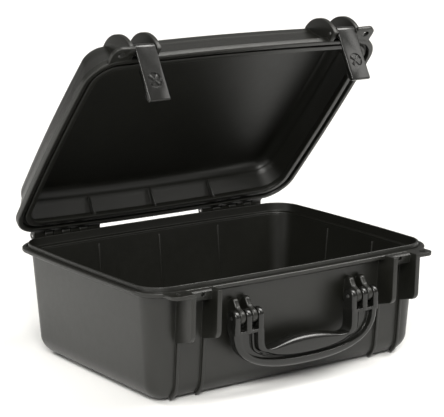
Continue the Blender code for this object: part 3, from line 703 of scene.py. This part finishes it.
def make_lid(finish):
    lid = mesh_object("lid_visual", lid_body(), LID)
    holes = []
    for side in (-1, 1):
        holes.append(padlock_hole(side, LID))
        holes.append(bore((HINGE_Y, HINGE_Z), HINGE_PIN_RADIUS, HINGE_SPAN, side, LID))
        holes.append(bore((LATCH_Y, LATCH_Z), LATCH_PIN_RADIUS, LATCH_SPAN, side, LID))
    merge(lid, lid_fittings(), holes)
    show(lid, finish, "lid", ["lid_shell"])


def make_gasket(finish):
    """The seal cord, a closed ring in the lid's groove."""
    section = softened([(5.6, 124.7), (8.5, 124.7), (8.5, 125.9), (5.6, 125.9)], 0.5)
    rings = [outline(inset, z, CROWN) for inset, z in section]
    gasket = mesh_object("gasket_visual", loft(rings, closed=True), LID)
    show(gasket, finish, "lid", ["lid_gasket"])


# Latches


def latch_cover_profile():
    """Side view of the latch, from its pin: barrel, long cover and inward lip."""
    front = -LATCH_BARREL_RADIUS
    back = front + LATCH_COVER
    barrel = arc((0, 0), LATCH_BARREL_RADIUS, 180, -40, 28)
    lower = [
        (0.4, -6.7),
        (back + 0.7, -7.4),
        (back, -9.0),
        (back, 1.6 - LATCH_LENGTH),
        (back + 1.4, 2.2 - LATCH_LENGTH),
        (-0.7, 6.6 - LATCH_LENGTH),
        (0.3, 11.0 - LATCH_LENGTH),
        (1.6, 10.8 - LATCH_LENGTH),
        (0.6, 5.8 - LATCH_LENGTH),
        (-1.6, 0.6 - LATCH_LENGTH),
        (-3.6, -LATCH_LENGTH),
        (front + 0.8, -LATCH_LENGTH),
        (front, 0.9 - LATCH_LENGTH),
    ]
    return barrel + lower


def latch_hook_profile():
    """Side view of the tongue that catches under the keeper bar."""
    back = LATCH_COVER - LATCH_BARREL_RADIUS
    return [(back - 0.8, -20.0), (4.8, -20.2), (5.6, -21.0), (5.2, -22.8), (back - 0.8, -23.6)]


def flange_profile():
    """Side view of a side flange behind the cover, below the keeper."""
    back = LATCH_COVER - LATCH_BARREL_RADIUS
    foot = 1.2 - LATCH_LENGTH
    return [(back - 0.8, -19.6), (-1.6, -21.6), (-1.2, -24.0), (-1.4, foot + 2.0), (back - 0.8, foot)]


def cross_arm(angle):
    """One arm of the cross in the dimple, flared outwards, as an (x, z) outline."""
    direction = Vector((math.cos(math.radians(angle)), math.sin(math.radians(angle))))
    across = Vector((-direction.y, direction.x))
    reach = DIMPLE_RADIUS - 1.0
    flare = [(-1.0, -0.6), (reach, -1.7), (reach, 1.7), (-1.0, 0.6)]
    points = [direction * along + across * wide for along, wide in flare]
    return [(p.x, p.y - DIMPLE_DROP) for p in points]


def make_latch(word, side, finish):
    place = latch_place(side)
    half = LATCH_WIDTH / 2
    front = -LATCH_BARREL_RADIUS
    latch = mesh_object("latch_visual_" + word, prism_x(latch_cover_profile(), -half, half), place, 0.7)
    dimple = prism_y(circle((0, -DIMPLE_DROP), DIMPLE_RADIUS, 48), front - 2.0, front + DIMPLE_DEPTH)
    pin = prism_x(circle((0, 0), LATCH_PIN_RADIUS + PIN_CLEARANCE), -half - 2, half + 2)
    merge(latch, (), [mesh_object("dimple", dimple, place), mesh_object("bore", pin, place)])
    added = [mesh_object("hook", prism_x(latch_hook_profile(), -8.0, 8.0), place, 0.4)]
    for low in (-half, half - LATCH_FLANGE):
        flange = prism_x(flange_profile(), low + 0.02, low + LATCH_FLANGE - 0.02)
        added.append(mesh_object("flange", flange, place, 0.4))
    for angle in (45, 135, 225, 315):
        arm = prism_y(cross_arm(angle), front + 0.2, front + DIMPLE_DEPTH + 0.6)
        added.append(mesh_object("cross_arm", arm, place, 0.25))
    merge(latch, added)
    show(latch, finish, word + "_latch", ["latch_" + word])


# Handle


def inner_edge(angle):
    """(x, z) on the finger opening's edge, from the top of an arm (0) to the middle (90)."""
    cosine = max(math.cos(math.radians(angle)), 0.0)
    sine = math.sin(math.radians(angle))
    x = FINGER_HALF_WIDTH * cosine ** (1 / 3)
    return x, ARM_TOP_Z - (ARM_TOP_Z - GRIP_EDGE_Z) * sine ** (1 / 3)


def outer_edge(angle, inner_x):
    """(x, z) on the handle's outline, opposite a point of the finger opening."""
    if angle < 45:
        x = HANDLE_HALF_WIDTH * math.cos(math.radians(angle)) ** (2 / OUTER_POWER)
    else:
        x = inner_x * (1 + GRIP_FAN * inner_x / GRIP_START_X)
    share = max(1 - (x / HANDLE_HALF_WIDTH) ** OUTER_POWER, 0.0) ** (1 / OUTER_POWER)
    return x, ARM_TOP_Z - (ARM_TOP_Z - HANDLE_BOTTOM_Z) * share


def flange_depth(x, z):
    """Depth of the flange round the finger opening: leaf-shaped below the palm, even on the arms."""
    leaf = (PALM_FLANGE - CORNER_FLANGE) * max(1 - (x / PALM_HALF_WIDTH) ** 2, 0.0)
    climb = min((z - GRIP_EDGE_Z) / 8.0, 1.0)
    arm = (ARM_FLANGE - CORNER_FLANGE) * climb * climb * (3 - 2 * climb)
    return CORNER_FLANGE + math.hypot(leaf, arm)


def handle_section(angle, side):
    """An I-section across the handle: domed palm flange, web with a fin, round outer flange."""
    inner_x, inner_z = inner_edge(angle)
    outer_x, outer_z = outer_edge(angle, inner_x)
    flange = flange_depth(inner_x, inner_z)
    crown = GRIP_CROWN * (1 - (inner_x / FINGER_HALF_WIDTH) ** 2)
    inner = Vector((side * inner_x, inner_z + crown))
    outer = Vector((side * outer_x, outer_z))
    depth = (outer - inner).length
    direction = (outer - inner) / depth
    lift = 0.4 + PALM_LIFT * max(1 - (inner_x / PALM_HALF_WIDTH) ** 2, 0.0) ** 0.5
    edge = HANDLE_HALF_DEPTH
    web_start = flange + 1.0
    web_end = depth - OUTER_FLANGE - 0.8
    gap = web_end - web_start
    fin_half = WEB_HALF + FIN_HEIGHT * max(min((52 - angle) / 20, 1.0), 0.0)
    fin_start = web_start + min(1.8, 0.3 * gap)
    fin_end = web_start + min(4.4, 0.6 * gap)
    palm = [(-lift * math.cos(a), 0.985 * edge * math.sin(a)) for a in quarter(10)]
    front = [
        (0.45, edge - 0.02),
        (flange - 0.7, edge),
        (flange - 0.2, edge - 0.15),
        (flange, edge - 0.6),
        (web_start - 0.3, WEB_HALF + 0.8),
        (web_start + 0.3, WEB_HALF + 0.1),
        (fin_start - 0.1, WEB_HALF),
        (fin_start + 0.25, fin_half - 0.2),
        (fin_start + 0.5, fin_half),
        (fin_end - 0.5, fin_half),
        (fin_end - 0.25, fin_half - 0.2),
        (fin_end + 0.1, WEB_HALF),
        (web_end - 0.3, WEB_HALF + 0.1),
        (web_end + 0.3, WEB_HALF + 0.8),
        (web_end + 0.8, edge - 0.6),
        (web_end + 1.0, edge - 0.15),
        (web_end + 1.5, edge),
    ]
    back = [(depth - 5.0 + 5.0 * math.sin(a), edge - 5.0 + 5.0 * math.cos(a)) for a in quarter(9)]
    half = palm + front + back
    section = [(along, y) for along, y in half] + [(along, -y) for along, y in half[:0:-1]]
    points = []
    for along, y in section:
        spot = inner + direction * along
        points.append((spot.x, HANDLE_Y + y, spot.y))
    return points


def quarter(steps):
    """Angles in radians over a quarter turn."""
    return [math.radians(90 * step / steps) for step in range(steps + 1)]


def tine_profile():
    """Side view of a handle tine: round over the pin, running down into the arm."""
    top = arc((HANDLE_Y, HANDLE_Z), HANDLE_KNUCKLE_RADIUS, 0, 180, 28)
    foot = HANDLE_KNUCKLE_RADIUS
    return [*top, (HANDLE_Y - foot, ARM_TOP_Z - 4.0), (HANDLE_Y + foot, ARM_TOP_Z - 4.0)]


def make_handle(finish):
    grip = [math.acos((x / FINGER_HALF_WIDTH) ** 3) for x in range(GRIP_START_X, 0, -GRIP_STEP)]
    angles = [*ARM_ANGLES, *[math.degrees(angle) for angle in grip]]
    rings = [handle_section(angle, -1) for angle in angles]
    rings.append(handle_section(90, 1))
    rings += [handle_section(angle, 1) for angle in reversed(angles)]
    handle = mesh_object("handle_visual", loft(rings))
    added = []
    holes = []
    foot = HANDLE_HALF_DEPTH - 0.4
    low = ARM_TOP_Z - 3.4
    high = ARM_TOP_Z - 0.4
    for side in (-1, 1):
        for centre in TINE_CENTRES:
            span = mirrored(centre - TINE_WIDTH / 2, centre + TINE_WIDTH / 2, side)
            added.append(mesh_object("tine", prism_x(tine_profile(), *span), edge=1.5))
        edges = ((57.8, low), (91.0, low), (91.6, high), (57.8, high))
        bar = prism_y([(side * x, z) for x, z in edges], HANDLE_Y - foot, HANDLE_Y + foot)
        added.append(mesh_object("bar", bar, edge=0.6))
        holes.append(bore((HANDLE_Y, HANDLE_Z), HANDLE_PIN_RADIUS, HANDLE_SPAN, side))
    merge(handle, added, holes)
    show(handle, finish, "handle", ["carry_handle"])


# Pins

# Name, body, centre line, radius, x range on the right and place
PINS = (
    ("hinge_pin", "base", (HINGE_Y, HINGE_Z), HINGE_PIN_RADIUS, HINGE_SPAN, WORLD),
    ("handle_pin", "base", (HANDLE_Y, HANDLE_Z), HANDLE_PIN_RADIUS, HANDLE_SPAN, WORLD),
    ("latch_pin", "lid", (LATCH_Y, LATCH_Z), LATCH_PIN_RADIUS, LATCH_SPAN, LID),
)


def make_pin(word, side, finish, name, body, centre, radius, span, place):
    """One steel pin, with its ends rounded over."""
    rod = prism_x(circle(centre, radius), *mirrored(*span, side))
    pin = mesh_object(name + "_visual_" + word, rod, place, 0.3)
    show(pin, finish, body, [name + "_" + word])


# Finishes


class Nodes:
    """A small helper that adds nodes to one material and links them."""

    def __init__(self, name):
        self.material = bpy.data.materials.new(name)
        self.material.use_nodes = True
        self.tree = self.material.node_tree
        self.shader = self.tree.nodes["Principled BSDF"]
        self.place = self.add("ShaderNodeTexCoord").outputs["Object"]

    def add(self, kind, **settings):
        node = self.tree.nodes.new(kind)
        for key, value in settings.items():
            setattr(node, key, value)
        return node

    def link(self, output, node_input):
        self.tree.links.new(output, node_input)

    def noise(self, scale, detail=3.0, roughness=0.55, place=None):
        node = self.add("ShaderNodeTexNoise")
        node.inputs["Scale"].default_value = scale
        node.inputs["Detail"].default_value = detail
        node.inputs["Roughness"].default_value = roughness
        self.link(place or self.place, node.inputs["Vector"])
        return node.outputs["Fac"]

    def spread(self, value, low, high, out_low, out_high):
        node = self.add("ShaderNodeMapRange")
        node.inputs["From Min"].default_value = low
        node.inputs["From Max"].default_value = high
        node.inputs["To Min"].default_value = out_low
        node.inputs["To Max"].default_value = out_high
        self.link(value, node.inputs["Value"])
        return node.outputs["Result"]

    def math(self, operation, first, second):
        node = self.add("ShaderNodeMath", operation=operation)
        for index, value in enumerate((first, second)):
            if isinstance(value, (int, float)):
                node.inputs[index].default_value = value
            else:
                self.link(value, node.inputs[index])
        return node.outputs["Value"]

    def mix(self, share, first, second):
        node = self.add("ShaderNodeMix", data_type="RGBA")
        self.link(share, node.inputs[0])
        for index, colour in ((6, first), (7, second)):
            if isinstance(colour, tuple):
                node.inputs[index].default_value = (*colour, 1.0)
            else:
                self.link(colour, node.inputs[index])
        return node.outputs[2]

    def bump(self, height, strength, distance, normal=None):
        node = self.add("ShaderNodeBump")
        node.inputs["Strength"].default_value = strength
        node.inputs["Distance"].default_value = distance
        self.link(height, node.inputs["Height"])
        if normal:
            self.link(normal, node.inputs["Normal"])
        return node.outputs["Normal"]

    def edges(self, radius):
        """How worn a point is, from 0 on open faces to 1 on edges, and the rounded normal there."""
        rounded = self.add("ShaderNodeBevel", samples=6)
        rounded.inputs["Radius"].default_value = radius
        true = self.add("ShaderNodeNewGeometry").outputs["Normal"]
        dot = self.add("ShaderNodeVectorMath", operation="DOT_PRODUCT")
        self.link(rounded.outputs["Normal"], dot.inputs[0])
        self.link(true, dot.inputs[1])
        return self.spread(dot.outputs["Value"], 0.99, 0.8, 0.0, 1.0), rounded.outputs["Normal"]


def plastic(name, dark, light, roughness, grain, grain_depth, wave_depth, worn):
    """Moulded plastic: spark-eroded grain, faint cloudiness, scuffs and slightly worn edges."""
    made = Nodes(name)
    fine = made.noise(grain, 2.0, 0.6)
    cloud = made.noise(14.0, 4.0, 0.6)
    scuff = made.noise(130.0, 6.0, 0.7)
    speck = made.noise(900.0, 1.0, 0.5)
    wear, rounded = made.edges(WEAR_RADIUS)
    worn_share = made.math("MULTIPLY", wear, made.spread(scuff, 0.35, 0.7, 0.15, 0.8))
    base = made.mix(made.spread(cloud, 0.3, 0.7, 0.0, 1.0), dark, light)
    base = made.mix(made.spread(speck, 0.62, 0.75, 0.0, 0.35), base, worn)
    colour = made.mix(worn_share, base, worn)
    made.link(colour, made.shader.inputs["Base Color"])
    rough = made.spread(scuff, 0.3, 0.75, roughness - 0.03, roughness + 0.05)
    rough = made.math("SUBTRACT", rough, made.math("MULTIPLY", worn_share, 0.1))
    made.link(rough, made.shader.inputs["Roughness"])
    wave = made.bump(cloud, 0.25, wave_depth, rounded)
    made.link(made.bump(fine, 0.5, grain_depth, wave), made.shader.inputs["Normal"])
    return made.material


def seal_rubber():
    """Matt black rubber with fine pores and a little dust."""
    made = Nodes("seal_rubber")
    dust = made.noise(260.0, 4.0, 0.6)
    pores = made.noise(2600.0, 2.0, 0.5)
    dusty = made.spread(dust, 0.4, 0.75, 0.0, 1.0)
    colour = made.mix(dusty, (0.010, 0.010, 0.009), (0.03, 0.03, 0.027))
    made.link(colour, made.shader.inputs["Base Color"])
    made.link(made.spread(dust, 0.3, 0.7, 0.55, 0.75), made.shader.inputs["Roughness"])
    made.link(made.bump(pores, 0.5, 0.00012), made.shader.inputs["Normal"])
    return made.material


def pin_steel():
    """Drawn steel: fine lines along the rod, with a little tarnish."""
    made = Nodes("pin_steel")
    stretch = made.add("ShaderNodeMapping")
    stretch.inputs["Scale"].default_value = (0.04, 1.0, 1.0)
    made.link(made.place, stretch.inputs["Vector"])
    lines = made.noise(3000.0, 3.0, 0.6, stretch.outputs["Vector"])
    tarnish = made.noise(180.0, 4.0, 0.6)
    dulled = made.spread(tarnish, 0.35, 0.7, 0.0, 1.0)
    colour = made.mix(dulled, (0.6, 0.6, 0.61), (0.36, 0.35, 0.34))
    made.link(colour, made.shader.inputs["Base Color"])
    made.link(made.spread(lines, 0.3, 0.7, 0.22, 0.42), made.shader.inputs["Roughness"])
    made.link(made.bump(lines, 0.3, 0.00006), made.shader.inputs["Normal"])
    made.shader.inputs["Metallic"].default_value = 1.0
    return made.material


def floor_finish():
    """Pale studio paper, faintly mottled and fibrous."""
    made = Nodes("floor_paper")
    mottle = made.noise(3.0, 3.0, 0.5)
    fibre = made.noise(400.0, 3.0, 0.6)
    cloudy = made.spread(mottle, 0.3, 0.7, 0.0, 1.0)
    colour = made.mix(cloudy, (0.86, 0.86, 0.85), (0.89, 0.89, 0.885))
    made.link(colour, made.shader.inputs["Base Color"])
    made.link(made.spread(fibre, 0.3, 0.7, 0.75, 0.9), made.shader.inputs["Roughness"])
    made.link(made.bump(fibre, 0.1, 0.0002), made.shader.inputs["Normal"])
    return made.material


# Stage


def make_floor():
    corners = ((-1, -1), (1, -1), (1, 1), (-1, 1))
    plan = [(FLOOR_REACH * x, FLOOR_REACH * y) for x, y in corners]
    floor = mesh_object("floor", prism_z(plan, FLOOR_UNDERSIDE_Z, FLOOR_TOP_Z))
    floor.data.materials.append(floor_finish())


def add_light(name, kind, place, target, energy, **settings):
    data = bpy.data.lights.new(name, kind)
    data.energy = energy
    data.color = LIGHT_COLOUR
    for key, value in settings.items():
        setattr(data, key, value)
    light = bpy.data.objects.new(name, data)
    bpy.context.scene.collection.objects.link(light)
    light.location = place
    light.rotation_euler = (Vector(target) - Vector(place)).to_track_quat("-Z", "Y").to_euler()


def make_sky():
    """A soft surround: brightest overhead, and brighter on the left and in front than opposite."""
    world = bpy.data.worlds.new("studio")
    world.use_nodes = True
    tree = world.node_tree
    place = tree.nodes.new("ShaderNodeTexCoord").outputs["Generated"]
    parts = tree.nodes.new("ShaderNodeSeparateXYZ")
    tree.links.new(place, parts.inputs["Vector"])
    total = None
    ends = ("From Min", "From Max", "To Min", "To Max")
    for output, values in (
        ("X", (-1.0, 1.0, 0.16, 0.0)),
        ("Y", (-1.0, 1.0, 0.16, 0.0)),
        ("Z", (0.0, 0.9, 0.06, 0.46)),
    ):
        ramp_node = tree.nodes.new("ShaderNodeMapRange")
        for key, value in zip(ends, values):
            ramp_node.inputs[key].default_value = value
        tree.links.new(parts.outputs[output], ramp_node.inputs["Value"])
        if total is None:
            total = ramp_node.outputs["Result"]
            continue
        plus = tree.nodes.new("ShaderNodeMath")
        plus.operation = "ADD"
        tree.links.new(total, plus.inputs[0])
        tree.links.new(ramp_node.outputs["Result"], plus.inputs[1])
        total = plus.outputs["Value"]
    sky = tree.nodes["Background"]
    sky.inputs["Color"].default_value = SKY_COLOUR
    tree.links.new(total, sky.inputs["Strength"])
    bpy.context.scene.world = world


def make_lights():
    """Two wide suns, a soft box on each side, and a pool of light on the floor to the left."""
    middle = (0.0, 0.0, 0.1)
    wide = math.radians(25)
    add_light("left_key", "SUN", (-0.84, -1.36, 1.30), middle, 2.65, angle=wide)
    add_light("right_key", "SUN", (1.20, -0.56, 1.90), middle, 1.7, angle=wide)
    add_light("right_box", "AREA", (1.38, -1.05, 1.20), middle, 3.4, size=0.6)
    add_light("left_box", "AREA", (-2.3, -0.5, 0.8), middle, 9.0, size=1.0)
    pool = {"spot_size": math.radians(15), "spot_blend": 1.0, "shadow_soft_size": 0.1}
    add_light("left_pool", "SPOT", (-1.3, 0.9, 1.6), (-0.31, 0.07, 0.0), 90.0, **pool)


def make_camera():
    """A long lens, looking down a little at the front left corner."""
    data = bpy.data.cameras.new("camera")
    data.sensor_width = 36.0
    data.lens = CAMERA_LENS
    data.clip_end = 100.0
    camera = bpy.data.objects.new("camera", data)
    bpy.context.scene.collection.objects.link(camera)
    camera.location = CAMERA_PLACE
    camera.rotation_euler = (math.radians(CAMERA_TILT), 0.0, math.radians(CAMERA_HEADING))
    bpy.context.scene.camera = camera


def main():
    shell = plastic(
        "shell_plastic",
        dark=(0.0052, 0.0053, 0.0038),
        light=(0.0078, 0.0079, 0.0060),
        roughness=0.38,
        grain=1500.0,
        grain_depth=0.00014,
        wave_depth=0.0009,
        worn=(0.022, 0.022, 0.019),
    )
    fitting = plastic(
        "fitting_plastic",
        dark=(0.0052, 0.0053, 0.0046),
        light=(0.0080, 0.0081, 0.0072),
        roughness=0.19,
        grain=1800.0,
        grain_depth=0.00002,
        wave_depth=0.0002,
        worn=(0.022, 0.022, 0.020),
    )
    steel = pin_steel()
    make_base(shell)
    make_lid(shell)
    make_gasket(seal_rubber())
    make_handle(fitting)
    for word, side in (("left", -1), ("right", 1)):
        make_latch(word, side, fitting)
        for pin in PINS:
            make_pin(word, side, steel, *pin)
    make_floor()
    make_sky()
    make_lights()
    make_camera()
    bpy.context.scene.view_settings.view_transform = "Standard"


main()
